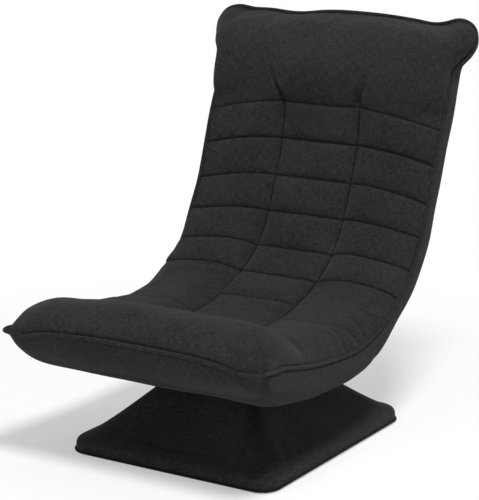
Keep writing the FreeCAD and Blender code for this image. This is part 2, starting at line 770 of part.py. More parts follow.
# head pad with two corner lobes
head_front_mid = (317.0, 696.0)
head_top = (386.0, 768.0)
head_rear_top = (414.0, 760.0)
head_rear = (420.0, 735.0)
foam_end = meet(back_foam_face[-2], back_run, head_low, (-back_run[1], back_run[0]))
over_tube = moved(back_top, back_run, tube_radius + 6)
over_front = moved(over_tube, (-back_run[1], back_run[0]), strap_out + back_foam_thick + soft_gap)
over_rear = moved(over_tube, (back_run[1], -back_run[0]), tube_radius + 2)
head_start = moved(head_low, back_run, soft_gap)
foam_start = moved(moved(foam_end, back_run, soft_gap), (-back_run[1], back_run[0]), soft_gap)
crown = arc(head_top, head_rear_top, head_rear)
head_edges = [arc(head_start, head_front_mid, head_top), crown,
              line(head_rear, over_rear), line(over_rear, over_front), line(over_front, foam_start),
              line(foam_start, head_start)]
head = prism(head_edges, -pad_half_width, pad_half_width)
ear = Part.makeSphere(ear_radius, V(*ear_centre))
ears = ear.fuse(mirrored(ear))
behind = block([over_rear, over_front, foam_start, moved(foam_start, back_run, -ear_reach),
                moved(over_rear, back_run, -1.5 * ear_reach)], -beyond, beyond)
head = head.fuse(ears.cut(behind)).removeSplitter()
keep("head_pad", head)

# covers: thin trays behind and under the pads
def side_edges(solid, marks, half):
    found = []
    for mark in marks:
        for s in (-1, 1):
            spot = mark.CenterOfMass + V(s * half, 0, 0)
            found.append(min(solid.Edges, key=lambda e: (e.CenterOfMass - spot).Length))
    return found


def tray(outer_points, edge_points, half, round_r, closing):
    outer = curve(outer_points)
    edges = [outer, curve(edge_points)] + closing
    body = prism(edges, -half, half)
    return body.makeFillet(round_r, side_edges(body, [outer], half))


seat_close = [line(seat_under[-1], seat_edge[-1])]
seat_out = tray(seat_under, seat_edge, cover_half_width, seat_cover_round, seat_close)
lift = 60.0
high_edge = [(p[0], p[1] + lift) for p in seat_edge]
high_close = [line(seat_under[0], high_edge[0]), line(seat_under[-1], high_edge[-1])]
inner_half = cover_half_width - cover_thick
seat_in = tray(seat_under, high_edge, inner_half, seat_cover_round - cover_thick, high_close)
seat_in.translate(V(0, cover_thick * 0.5, cover_thick))
room_x = rail_x + rail_width
room_front = rail_front - swivel_margin
room_depth = rail_rear - rail_front + race_radius
room_low = V(-room_x, room_front, upper_top - rail_height)
swivel_room = Part.makeBox(2 * room_x, room_depth, 3 * rail_height, room_low)
hinge_core = cross_bar(hinge, fold_core, -beyond, beyond)
seat_cover = seat_out.cut(seat_in).common(seat_zone).cut(hinge_core).cut(swivel_room)
seat_cover = seat_cover.cut(roll)
seat_cover = max(seat_cover.Solids, key=lambda s: s.Volume)
keep("seat_cover", seat_cover)

back_close = [line(back_rear[0], back_edge[0]), line(back_rear[-1], back_edge[-1])]
back_out = tray(back_rear, back_edge, cover_half_width, back_cover_round, back_close)
ahead = 60.0
far_edge = [(p[0] - ahead, p[1] + ahead * 0.4) for p in back_edge]
far_close = [line(back_rear[0], far_edge[0]), line(back_rear[-1], far_edge[-1])]
back_in = tray(back_rear, far_edge, inner_half, back_cover_round - cover_thick, far_close)
back_in.translate(V(0, -cover_thick, cover_thick * 0.5))
back_shell = back_out.cut(back_in).cut(hinge_core)
ratchet_room = cross_bar(hinge, cheek_radius + ratchet_margin, tube_x - ratchet_half, tube_x + ratchet_half)
ratchet_room = ratchet_room.fuse(mirrored(ratchet_room))
back_cover = back_shell.common(back_zone).cut(head).cut(ears).cut(ratchet_room)
fold_zone = wedge(fold_seat_side + 0.3, fold_back_side - 0.3)
rail_room = []
for rail in rails:
    b = rail.BoundBox
    corner = V(b.XMin - 1, b.YMin, b.ZMin - 1)
    rail_room.append(Part.makeBox(b.XLength + 2, b.YLength + 2, b.ZLength + 2, corner))
keep("bend_cover", back_shell.common(fold_zone).cut(Part.makeCompound(rail_room)))

# welts along the edge of the front panel, resting on the rim of the covers
side_x = cover_half_width + 1
proud = welt_radius + soft_gap


def beside(points):
    # inner points along the edge, moved off it towards the sitter by the welt's seat
    marks = [(v.y, v.z) for v in curve(points).discretize(welt_steps)]
    out = []
    for p, q, r in zip(marks, marks[1:], marks[2:]):
        u = heading(p, r)
        out.append(moved(q, (-u[1], u[0]), proud))
    return out


def out_to_tip(p):
    # the welt swings out from the side to the corner tip
    return at(p, side_x + (tip[0] - side_x) * math.exp((tip[1] - p[0]) / tip_swing))


def flipped(v):
    return V(-v.x, v.y, v.z)


# seat welts: one along the front and one along each side, which meet at the corner tips
front_y = tip[1] - proud
front_end = V(tip[0] - tip_turn, front_y, tip[2] + proud)
front_side = V(0.55 * tip[0], front_y, tip[2] + front_rise)
front_mid = V(0, front_y, tip[2] + 1.2 * front_rise)
front_welt = welt([front_end, front_side, front_mid, flipped(front_side), flipped(front_end)])
seat_run_end = hinge[0] - seat_welt_short
side_welt = welt([out_to_tip(p) for p in beside(seat_edge) if tip[1] + tip_turn < p[0] < seat_run_end])
keep("seat_welt", Part.makeCompound([front_welt, side_welt, mirrored(side_welt)]))
keep("front_roll", front_roll.cut(front_welt))
ear_rim = ear_radius + proud + ear_seat
ear_middle = V(*ear_centre)


def on_ear(dx, dy, dz):
    return ear_middle + V(dx, dy, dz).normalize() * ear_rim


def smooth(points, first, last):
    spline = Part.BSplineCurve()
    spline.interpolate(Points=points, InitialTangent=first, FinalTangent=last)
    return spline.toShape()


ear_foot = on_ear(0.9, -0.3, -0.45)
ear_top = on_ear(0, 0.3, 1)
ear_arc = Part.Arc(ear_foot, on_ear(1, -0.1, 0), ear_top)
ear_start = ear_arc.tangent(ear_arc.FirstParameter)[0]
ear_end = ear_arc.tangent(ear_arc.LastParameter)[0]
ear_low = ear_centre[2] - 1.4 * ear_radius
side_run = []
for p in beside(back_edge):
    if p[0] > hinge[0] and p[1] < ear_low:
        side_run.append(at(p, side_x + ear_clear * math.exp((p[1] - ear_low) / ear_swing)))
side_start = side_run[1] - side_run[0]
crown_up = V(0, math.cos(math.radians(65)), math.sin(math.radians(65)))
top_line = crown.Curve.Center + crown_up * (crown.Curve.Radius + proud + 2 * soft_gap)
top_x = 0.72 * cover_half_width
top_run = [ear_top] + [top_line + V(x, 0, 0) for x in (top_x, 0, -top_x)] + [flipped(ear_top)]
half_side = smooth(side_run + [ear_foot], side_start, ear_start)
# the rim of the back cover makes room for the welt where it swings out to the ear
swing = [p for p in half_side.discretize(swing_steps) if p.z > ear_low - swing_reach]
swing_room = []
for p, q in zip(swing, swing[1:]):
    swing_room.append(Part.makeCylinder(proud + soft_gap, (q - p).Length + welt_radius, p, q - p))
swing_room = swing_room + [mirrored(room) for room in swing_room]
for room in swing_room:
    back_cover = back_cover.cut(room)
keep("back_cover", max(back_cover.Solids, key=lambda s: s.Volume))
top_edge = smooth(top_run, ear_end, flipped(ear_end) * -1)
half_ear = ear_arc.toShape()
loop = [half_side, half_ear, top_edge, mirrored(half_ear), mirrored(half_side)]
ring = Part.Wire(Part.makeCircle(welt_radius, side_run[0], side_start))
keep("back_welt", Part.Wire(Part.__sortEdges__(loop)).makePipeShell([ring], True, False))
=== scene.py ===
import json
import math

import bmesh
import bpy
import numpy as np
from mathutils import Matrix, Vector


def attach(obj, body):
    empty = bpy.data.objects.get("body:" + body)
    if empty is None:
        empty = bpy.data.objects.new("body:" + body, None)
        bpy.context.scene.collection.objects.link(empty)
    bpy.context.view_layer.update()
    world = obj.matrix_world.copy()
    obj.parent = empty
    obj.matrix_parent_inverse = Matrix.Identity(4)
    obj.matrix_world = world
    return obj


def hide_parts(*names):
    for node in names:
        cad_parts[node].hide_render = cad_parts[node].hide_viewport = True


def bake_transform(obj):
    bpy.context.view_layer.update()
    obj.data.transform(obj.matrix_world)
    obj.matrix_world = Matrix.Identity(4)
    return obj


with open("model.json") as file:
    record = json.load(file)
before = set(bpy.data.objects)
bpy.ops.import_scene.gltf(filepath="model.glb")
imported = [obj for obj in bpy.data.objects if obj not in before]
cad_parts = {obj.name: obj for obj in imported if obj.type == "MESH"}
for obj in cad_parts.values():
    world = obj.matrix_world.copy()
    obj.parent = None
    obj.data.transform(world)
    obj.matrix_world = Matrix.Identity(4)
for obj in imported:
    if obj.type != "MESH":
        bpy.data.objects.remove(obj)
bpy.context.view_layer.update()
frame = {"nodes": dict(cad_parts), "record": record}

MM = 0.001
# the outlines below are measured from the swivel axis, which stands this far in front of the frame's origin
SWIVEL_Y = -31.0

# Stations along the chair from the front welt over the seat and the back to the top welt, in millimetres.
# edge: the welt at the sitter's left, as (x, y, z)
EDGE = [(272, -363.5, 253), (267, -347, 256), (266, -325, 250), (265, -285, 247.5), (265, -240, 238),
        (265, -200, 230), (265, -150, 222), (265, -80, 215.8), (265, -24, 214), (265, 16, 221),
        (265, 62, 234), (265, 127, 272), (265, 184, 314), (265, 222, 373), (265, 251, 432),
        (265, 275, 501), (265, 300, 567), (265, 316, 608), (265, 331, 645), (265, 343, 669),
        (274, 357, 689), (286, 375, 707), (292, 386, 729), (283, 395, 753)]
# seam: the front panel at the column seams, as (y, z)
SEAM = [(-367, 268), (-362, 290), (-338, 309), (-290, 317), (-243, 298), (-205, 268), (-152, 244), (-85, 236),
        (-24, 237.5), (16, 242), (61, 252), (142, 279.5), (202, 320.5), (245, 383), (272.5, 451), (298, 522),
        (302, 597), (290, 634), (294, 668), (307, 696), (326, 723), (350, 745), (378, 760), (410, 766)]
# crest: the crowned face of the side columns, as (y, z)
CREST = [(-367, 268), (-362, 290), (-338, 309), (-290, 317), (-243, 301), (-203, 283), (-150, 268),
         (-85, 259), (-24, 257), (15.5, 261), (59, 269), (124, 291), (178.5, 324.5), (225, 378), (257, 438),
         (282, 508), (295.5, 583), (294, 634), (297, 668), (307, 696), (326, 723), (350, 745), (378, 760),
         (410, 766)]
# rear: the middle of the cover below the seat and behind the back, as (y, z)
REAR = [(-367, 266), (-354, 234), (-332, 205), (-290, 179), (-240, 165), (-200, 158.5), (-150, 154.5),
        (-80, 152.5), (-15, 152.5), (30, 156), (72, 172), (150, 225), (222, 279), (270, 345), (298, 413),
        (330, 492), (357, 561), (375, 608), (392, 650), (404, 681), (413, 705), (419, 724), (420, 742),
        (410, 766)]
# share of each station that is sewn into three columns
COLUMNED = [0, 0, 0, 0, 0.1, 0.4, 0.8, 1, 1, 1, 1, 1, 1, 1, 1, 1, 1, 0.3, 0, 0, 0, 0, 0, 0]
# how square the fall from the crest to the welt is
FALL = [2.2, 2.2, 2.2, 2.2, 2.4, 3, 3.5, 4, 4, 4, 4, 4, 4, 4, 4, 4, 4, 6, 8, 8, 6, 3, 3, 3]
# how far the welt at the sitter's right is drawn in, and how far the filling swells out past it there
DRAWN_IN = [0, 0, 0, 0, 0, 0, 0, 2, 4, 8, 12, 14, 13, 11, 13, 13, 12, 13, 14, 10, 4, 0, 0, 0]
SIDE_BULGE = 5.0
# share of the draw that reaches the underside, and the cover's columns over which it fades
UNDERSIDE_DRAW = 0.3
BAND_COLUMNS = 8
# the welt at the top and at the front, from the middle to the sitter's left, as (x, y, z)
TOP_LINE = [(0, 410, 766), (75, 410, 764), (150, 409, 758.5), (197, 408, 754), (224, 406, 759),
            (246, 402, 766), (267, 398.5, 763), (283, 395, 753)]
FRONT_LINE = [(0, -367, 269), (76, -367, 268), (152, -367, 265.5), (200, -366.3, 260), (228, -365.2, 252.5),
              (250, -364.5, 254.5), (272, -363.5, 253)]
# rows over which the panel and the cover pass into these two lines
PANEL_FRONT_ROWS, PANEL_TOP_ROWS = 12, 17
COVER_FRONT_ROWS, COVER_TOP_ROWS = 10, 21
# changes of the top line at the sitter's right, as (rise, x, width), and the rows they reach down to
SWAY = ((8, -190, 32), (-4, -105, 40))
SWAY_ROWS = 18
# slack of the front roll towards the sitter's right, as (share, middle, width), and its full depth
ROLL_SLACK = ((1.0, (-200, -285), (85, 65)), (0.6, (-245, -325), (35, 45)))
ROLL_SLACK_DEPTH = 13
# stations of the row seams: the first runs over the middle column only, and the last ends the columns
FAINT_ROW = 10
LAST_SIDE_ROW = 11
TOP_ROW = 16
# station where the cover folds at the hinge
HINGE_FOLD = 9.6

COLUMN_SEAM = 85.0
CENTRE_CROWN = 4.0
# share of a side column where its crest lies, and powers that shape the rise to it, the fall to the welt and
# the slide along the chair
CREST_SHARE = 0.5
RISE_SHAPE = (2.4, 0.9)
DROP_SHAPE = 0.4
SLIDE_SHAPE = 1.8
CELL_STEP = 5.4
CENTRE_CELLS = 17
SIDE_CELLS = 42
COVER_CELLS = 46
ROW_PUFF = 5.5
SEAM_SINK = 3.0
# the ear at the sitter's left: its middle, and the height and width of its swelling
EAR_MIDDLE = (264.0, 382.0, 726.0)
EAR_HEIGHT = 7.0
EAR_WIDTH = 26.0
# the cloth's swelling between its seams
SWELL_PRESSURE = 2.5
SWELL_SLACK = 0.015
SWELL_FRAMES = 20
# slight unevenness of the panel and the cover: waves as (along u, along v, phase), and their height
PANEL_WAVES = ((0.021, 0.034, 0.4), (0.047, -0.023, 2.1), (-0.031, 0.058, 4.0), (0.066, 0.041, 1.2))
PANEL_WAVE_HEIGHT = 0.35
COVER_WAVES = ((0.018, 0.027, 0.9), (0.039, -0.02, 2.6), (-0.026, 0.049, 5.0))
COVER_WAVE_HEIGHT = 0.5
# gathers beside the row seams and the column seams: height, and how far they reach
ROW_GATHER, COLUMN_GATHER = 0.45, 0.4
GATHER_REACH = 9.0
LINING_DEPTH = 14.0
LINING_SHARES = (-0.75, 0.0, 0.75)
WELT_RADIUS = 3.8
WELT_PROUD = 2.2
WELT_POINTS = 720
WELT_SIDES = 12
COVER_CLOTH = 2.0
FOLD_DENT = 1.2
SWIVEL_OPENING = 88.0
UNDERSIDE_TOP = 0.17

BASE_HALF = np.array([217.5, 251.0])
BASE_CORNER = 35.0
HUB_HALF = np.array([76.0, 87.0])
HUB_CORNER = 16.0
HUB_TOP = 146.0
BASE_CLOTH = 1.5
HEM_HEIGHT = 5.0
HEM_INSET = 0.2
HEM_RADIUS = 3.0
# points around the base and steps up its tent
BASE_ROUND = 192
BASE_RISE = 40
# the rim of the base cover over the ring, as (height, inset)
RIM = ((2, 0.8), (6, 0.2), (12, 0.0), (18, 0.2), (22.5, 1.2), (26.2, 3.6), (28.9, 7.6), (30.2, 12.5))


def place(points):
    """Millimetres from the swivel axis to metres in the frame."""
    moved = np.asarray(points, float) + np.array([0.0, SWIVEL_Y, 0.0])
    return moved * MM


def hermite(knots, values, wanted):
    """Smooth curve through values at knots, read at the wanted parameters."""
    knots = np.asarray(knots, float)
    values = np.asarray(values, float)
    flat = values.ndim == 1
    if flat:
        values = values[:, None]
    step = np.diff(knots)
    slope = np.diff(values, axis=0) / step[:, None]
    tangent = np.empty_like(values)
    tangent[0] = slope[0]
    tangent[-1] = slope[-1]
    before = step[:-1, None]
    after = step[1:, None]
    tangent[1:-1] = (slope[:-1] * after + slope[1:] * before) / (before + after)
    i = np.clip(np.searchsorted(knots, wanted, side="right") - 1, 0, len(step) - 1)
    h = step[i][:, None]
    t = ((wanted - knots[i]) / step[i])[:, None]
    out = (values[i] * (1 + 2 * t) * (1 - t) ** 2 + tangent[i] * h * t * (1 - t) ** 2
           + values[i + 1] * t ** 2 * (3 - 2 * t) + tangent[i + 1] * h * t ** 2 * (t - 1))
    return out[:, 0] if flat else out


def run_length(points):
    """Distance of each point along its line."""
    return np.concatenate([[0.0], np.cumsum(np.linalg.norm(np.diff(points, axis=0), axis=1))])


def read_line(points, at):
    """Points of a line at shares of its length."""
    length = run_length(points)
    at = at * length[-1]
    return np.stack([np.interp(at, length, points[:, k]) for k in range(points.shape[1])], axis=1)


def smooth_step(t):
    t = np.clip(t, 0, 1)
    return t * t * (3 - 2 * t)


def dense_ends(count, share):
    """Steps from 0 to 1, closer together at both ends."""
    r = np.linspace(0, 1, count + 1)
    return r + share * (0.5 - 0.5 * np.cos(np.pi * r) - r)


def dense_last(count, share):
    """Steps from 0 to 1, closer together towards 1."""
    r = np.linspace(0, 1, count + 1)
    return r + share * (np.sin(np.pi * r / 2) - r)


def mesh_piece(name, verts, faces):
    mesh = bpy.data.meshes.new(name)
    mesh.from_pydata([tuple(v) for v in verts], [], [tuple(f) for f in faces])
    mesh.update()
    for polygon in mesh.polygons:
        polygon.use_smooth = True
    obj = bpy.data.objects.new(name, mesh)
    bpy.context.scene.collection.objects.link(obj)
    return obj


def grid_faces(rows, columns):
    index = np.arange(rows * columns).reshape(rows, columns)
    return np.stack([index[:-1, :-1].ravel(), index[:-1, 1:].ravel(),
                     index[1:, 1:].ravel(), index[1:, :-1].ravel()], axis=1)


def grid_normals(grid):
    n = np.cross(np.gradient(grid, axis=1), np.gradient(grid, axis=0))
    return n / np.maximum(np.linalg.norm(n, axis=2, keepdims=True), 1e-9)


def store(obj, name, values):
    kind, key = ("FLOAT_VECTOR", "vector") if values.ndim == 2 else ("FLOAT", "value")
    attribute = obj.data.attributes.new(name, kind, "POINT")
    attribute.data.foreach_set(key, values.astype(np.float32).ravel())


def apply_modifiers(obj):
    graph = bpy.context.evaluated_depsgraph_get()
    mesh = bpy.data.meshes.new_from_object(obj.evaluated_get(graph))
    obj.modifiers.clear()
    old = obj.data
    obj.data = mesh
    bpy.data.meshes.remove(old)
    for polygon in obj.data.polygons:
        polygon.use_smooth = True


def subdivide(obj):
    modifier = obj.modifiers.new("smooth", "SUBSURF")
    modifier.levels = 1
    modifier.render_levels = 1
    apply_modifiers(obj)


def thicken(obj, thickness, offset):
    modifier = obj.modifiers.new("cloth", "SOLIDIFY")
    modifier.thickness = thickness * MM
    modifier.offset = offset
    apply_modifiers(obj)


def mirror_halves(half):
    """A half from the middle to +X becomes the whole from -X to +X."""
    return np.concatenate([half[:, :0:-1] * np.array([-1, 1, 1]), half], axis=1)


# rows of the chair: an even step between stations, closer together at the row seams
station_at = run_length(np.array(SEAM, float))
row_at = []
row_station = []
for k in range(len(SEAM) - 1):
    span = station_at[k + 1] - station_at[k]
    count = max(3, int(round(span / CELL_STEP)))
    sewn = FAINT_ROW <= k <= TOP_ROW or FAINT_ROW <= k + 1 <= TOP_ROW
    row_station.append(len(row_at))
    row_at.extend(station_at[k] + dense_ends(count, 0.55 if sewn else 0.0)[:-1] * span)
row_station.append(len(row_at))
row_at = np.array(row_at + [station_at[-1]])
ROWS = len(row_at)
edge = hermite(station_at, EDGE, row_at)
seam = hermite(station_at, SEAM, row_at)
crest = hermite(station_at, CREST, row_at)
rear = hermite(station_at, REAR, row_at)
columned = np.clip(hermite(station_at, COLUMNED, row_at), 0, 1)
fall = hermite(station_at, FALL, row_at)
drawn_in = hermite(station_at, DRAWN_IN, row_at)
tangent = np.gradient(seam, row_at, axis=0)
tangent /= np.linalg.norm(tangent, axis=1, keepdims=True)
toward = np.stack([-tangent[:, 1], tangent[:, 0]], axis=1)


def split_reading(line, at_seam, even):
    """Columns of a half section: sewn spacing about the column seam, or even spacing where there is none."""
    middle = read_line(line[:at_seam + 1], dense_last(CENTRE_CELLS, 0.5))
    side = read_line(line[at_seam:], dense_ends(SIDE_CELLS, 0.4))
    sewn = np.concatenate([middle, side[1:]])
    plain = read_line(line, np.linspace(0, 1, CENTRE_CELLS + SIDE_CELLS + 1))
    return sewn * (1 - even) + plain * even


def half_section(i):
    """Front panel at row i from the middle to the left welt."""
    ex = edge[i][0]
    s = 1 - (1 - np.linspace(0, 1, 300)) ** 2
    rise = (1 - (1 - np.clip(s / CREST_SHARE, 0, 1)) ** RISE_SHAPE[0]) ** RISE_SHAPE[1]
    past_crest = np.clip((s - CREST_SHARE) / (1 - CREST_SHARE), 0, 1)
    drop = np.maximum(1 - past_crest ** fall[i], 0) ** DROP_SHAPE
    crest_up = (crest[i] - seam[i]) @ toward[i]
    edge_up = (edge[i][1:] - seam[i]) @ toward[i]
    slide = (edge[i][1:] - seam[i]) @ tangent[i] * s ** SLIDE_SHAPE
    lift = np.where(s < CREST_SHARE, crest_up * rise, edge_up + (crest_up - edge_up) * drop)
    side = seam[i] + toward[i] * lift[:, None] + tangent[i] * slide[:, None]
    x_mid = np.linspace(0, COLUMN_SEAM, 80)
    at_seam = len(x_mid) - 1
    bulge = CENTRE_CROWN * np.maximum(1 - (x_mid / COLUMN_SEAM) ** 3, 0) ** 0.6 * columned[i]
    middle = seam[i] + toward[i] * bulge[:, None]
    x = np.concatenate([x_mid, (COLUMN_SEAM + (ex - COLUMN_SEAM) * s)[1:]])
    line = np.column_stack([x, np.concatenate([middle, side[1:]])])
    return split_reading(line, at_seam, 1 - columned[i])


def end_row(points):
    """The panel's columns along a welt line."""
    p = np.array(points, float)
    length = run_length(p)
    fine = hermite(length, p, np.linspace(0, length[-1], 600))
    return split_reading(fine, int(np.argmin(np.abs(fine[:, 0] - COLUMN_SEAM))), 1.0)


half = np.array([half_section(i) for i in range(ROWS)])
HALF = half.shape[1]


def settle(rows, order, target):
    """Rows near an end pass smoothly into the line there."""
    shift = target - rows[order[0]]
    for k, i in enumerate(order):
        rows[i] += shift * smooth_step(1 - k / len(order))


settle(half, list(range(PANEL_FRONT_ROWS)), end_row(FRONT_LINE))
settle(half, list(range(ROWS - 1, ROWS - 1 - PANEL_TOP_ROWS, -1)), end_row(TOP_LINE))
panel = mirror_halves(half)
COLUMNS = panel.shape[1]


def draw_in(grid, share):
    """Narrows the side at the sitter's right by a share of its full amount in each column."""
    right = np.maximum(-grid[:, :, 0], 0) / edge[:, 0][:, None]
    grid[:, :, 0] += drawn_in[:, None] * right ** 3 * share


def sway(grid):
    """Moves the dip of the top line inwards at the sitter's right."""
    x = grid[-1, :, 0]
    rise = sum(height * np.exp(-((x - middle) / width) ** 2) for height, middle, width in SWAY)
    for k in range(SWAY_ROWS):
        grid[-1 - k, :, 2] += rise * smooth_step(1 - k / SWAY_ROWS)


draw_in(panel, np.ones((1, COLUMNS)))
sway(panel)
# at the sitter's right the filling swells out past the welt
over = np.clip(np.arange(HALF - 1, -1, -1) / (HALF - 1), 0, 1)
over = np.exp(-((over - 0.93) / 0.05) ** 2) * smooth_step((1 - over) / 0.04)
panel[:, :HALF, 0] -= SIDE_BULGE * over[None, :] * smooth_step(drawn_in / 6)[:, None]
# the front roll is slacker towards the sitter's right
slack_roll = np.zeros(panel.shape[:2])
for share, (x, y), (wide, long) in ROLL_SLACK:
    slack_roll += share * np.exp(-((panel[:, :, 0] - x) / wide) ** 2 - ((panel[:, :, 1] - y) / long) ** 2)
panel[:, :, 2] -= ROLL_SLACK_DEPTH * slack_roll * (1 - (np.abs(panel[:, :, 0]) / edge[:, 0][:, None]) ** 8)
across = np.abs(np.arange(COLUMNS) - (HALF - 1))
in_middle = across <= CENTRE_CELLS
seam_columns = (HALF - 1 - CENTRE_CELLS, HALF - 1 + CENTRE_CELLS)


def pillow(r):
    """Height of a sewn cell across its width."""
    return np.maximum(1 - np.abs(2 * r - 1) ** 4, 0) ** 0.5


# puff of each sewn cell
puff = np.zeros((ROWS, COLUMNS))
side_puff = np.zeros(COLUMNS)
side_puff[~in_middle] = pillow((across[~in_middle] - CENTRE_CELLS) / SIDE_CELLS)
middle_puff = np.where(in_middle, np.maximum(1 - (across / CENTRE_CELLS) ** 4.0, 0) ** 0.5, 0)
for a in range(FAINT_ROW, TOP_ROW):
    i0, i1 = row_station[a], row_station[a + 1]
    r = pillow((row_at[i0:i1 + 1] - row_at[i0]) / (row_at[i1] - row_at[i0]))
    share = middle_puff if a < LAST_SIDE_ROW else middle_puff + side_puff
    puff[i0:i1 + 1] += r[:, None] * share[None, :]
panel += grid_normals(panel) * (ROW_PUFF * puff)[:, :, None]
# the ears
indoors = smooth_step((HALF - 1 - across) / 4)[None, :, None]
for side in (-1, 1):
    away = np.linalg.norm(panel - np.array(EAR_MIDDLE) * np.array([side, 1, 1]), axis=2)
    panel += grid_normals(panel) * (EAR_HEIGHT * np.exp(-(away / EAR_WIDTH) ** 2))[:, :, None] * indoors

# seams that hold the cloth down; the column seams fade in over the seat and end at the head pad
groove = np.zeros((ROWS, COLUMNS))
for k in range(FAINT_ROW, TOP_ROW + 1):
    i = row_station[k]
    if k < LAST_SIDE_ROW:
        groove[i, in_middle] = 0.5
    else:
        groove[i, 1:-1] = 1
fade = smooth_step((np.arange(ROWS) - row_station[5]) / (row_station[8] - row_station[5]))
fade[row_station[TOP_ROW] + 1:] = 0
for j in seam_columns:
    groove[:, j] = np.maximum(groove[:, j], fade)


def inflate(obj, weights, pressure, slack, frames, cap):
    """Lets the cloth swell between its seams, and keeps each point within cap of its start."""
    start = np.array([v.co for v in obj.data.vertices])
    group = obj.vertex_groups.new(name="held")
    for value in np.unique(weights):
        if value > 0:
            group.add([int(i) for i in np.where(weights == value)[0]], float(value), "REPLACE")
    cloth = obj.modifiers.new("swell", "CLOTH")
    settings = cloth.settings
    settings.quality = 6
    settings.mass = 0.25
    settings.tension_stiffness = 18
    settings.compression_stiffness = 18
    settings.shear_stiffness = 6
    settings.bending_stiffness = 0.6
    settings.air_damping = 4
    settings.vertex_group_mass = "held"
    settings.pin_stiffness = 1
    settings.use_pressure = True
    settings.uniform_pressure_force = pressure
    settings.shrink_min = -slack
    settings.effector_weights.gravity = 0
    cloth.point_cache.frame_start = 1
    cloth.point_cache.frame_end = frames
    scene = bpy.context.scene
    for f in range(1, frames + 1):
        scene.frame_set(f)
    graph = bpy.context.evaluated_depsgraph_get()
    swollen = obj.evaluated_get(graph)
    moved = np.array([v.co for v in swollen.to_mesh().vertices])
    swollen.to_mesh_clear()
    scene.frame_set(1)
    step = moved - start
    size = np.maximum(np.linalg.norm(step, axis=1), 1e-9)
    return start + step * (cap * np.tanh(size / cap) / size)[:, None]


pin = np.where(groove >= 0.5, groove, 0)
pin[0] = pin[-1] = 1
pin[:, 0] = pin[:, -1] = 1
ahead = np.minimum(np.arange(ROWS), np.arange(ROWS)[::-1])
beside = np.minimum(np.arange(COLUMNS), np.arange(COLUMNS)[::-1])
inside = smooth_step(np.minimum(ahead[:, None] / 12, beside[None, :] / 10))
cap = (0.6 + inside * (3.8 - 0.8 * columned[:, None])) * MM
cloth_grid = mesh_piece("cloth_grid", place(panel).reshape(-1, 3), grid_faces(ROWS, COLUMNS))
swollen = inflate(cloth_grid, pin.ravel(), SWELL_PRESSURE, SWELL_SLACK, SWELL_FRAMES, cap.ravel())
bpy.data.objects.remove(cloth_grid)
panel = swollen.reshape(ROWS, COLUMNS, 3) / MM - np.array([0.0, SWIVEL_Y, 0.0])


def thread_lengths(grid):
    """Distance along the two threads of the cloth: from the middle, and from the first row."""
    u = np.cumsum(np.linalg.norm(np.diff(grid, axis=1), axis=2), axis=1)
    u = np.concatenate([np.zeros((grid.shape[0], 1)), u], axis=1)
    u -= u[:, grid.shape[1] // 2][:, None]
    v = np.cumsum(np.linalg.norm(np.diff(grid, axis=0), axis=2).mean(axis=1))
    v = np.concatenate([[0.0], v])
    return u, np.repeat(v[:, None], grid.shape[1], axis=1)


def fold_depth(u, v, line, width):
    """Share of a fold along a line of (u, v) points: one on the line, fading at its ends and to its sides."""
    best = np.zeros_like(u)
    total = run_length(np.array(line, float))
    for k in range(len(line) - 1):
        a = np.array(line[k], float)
        d = np.array(line[k + 1], float) - a
        t = np.clip(((u - a[0]) * d[0] + (v - a[1]) * d[1]) / (d @ d), 0, 1)
        away = np.hypot(u - a[0] - t * d[0], v - a[1] - t * d[1])
        along = (total[k] + t * (total[k + 1] - total[k])) / total[-1]
        ends = smooth_step(along / 0.12) * (1 - smooth_step((along - 0.5) / 0.5))
        best = np.maximum(best, np.exp(-(away / width) ** 2) * ends)
    return best


normals = grid_normals(panel)
u_at, v_at = thread_lengths(panel)
v_row = v_at[:, 0]
u_edge = np.abs(u_at[:, -1])
rank = np.interp(np.arange(ROWS), row_station, np.arange(len(row_station)))


def spot(share, station):
    """Thread lengths of a point given as a share of the half width and a station."""
    v = np.interp(station, rank, v_row)
    return (share * np.interp(station, rank, u_edge), v)


sink = groove * SEAM_SINK
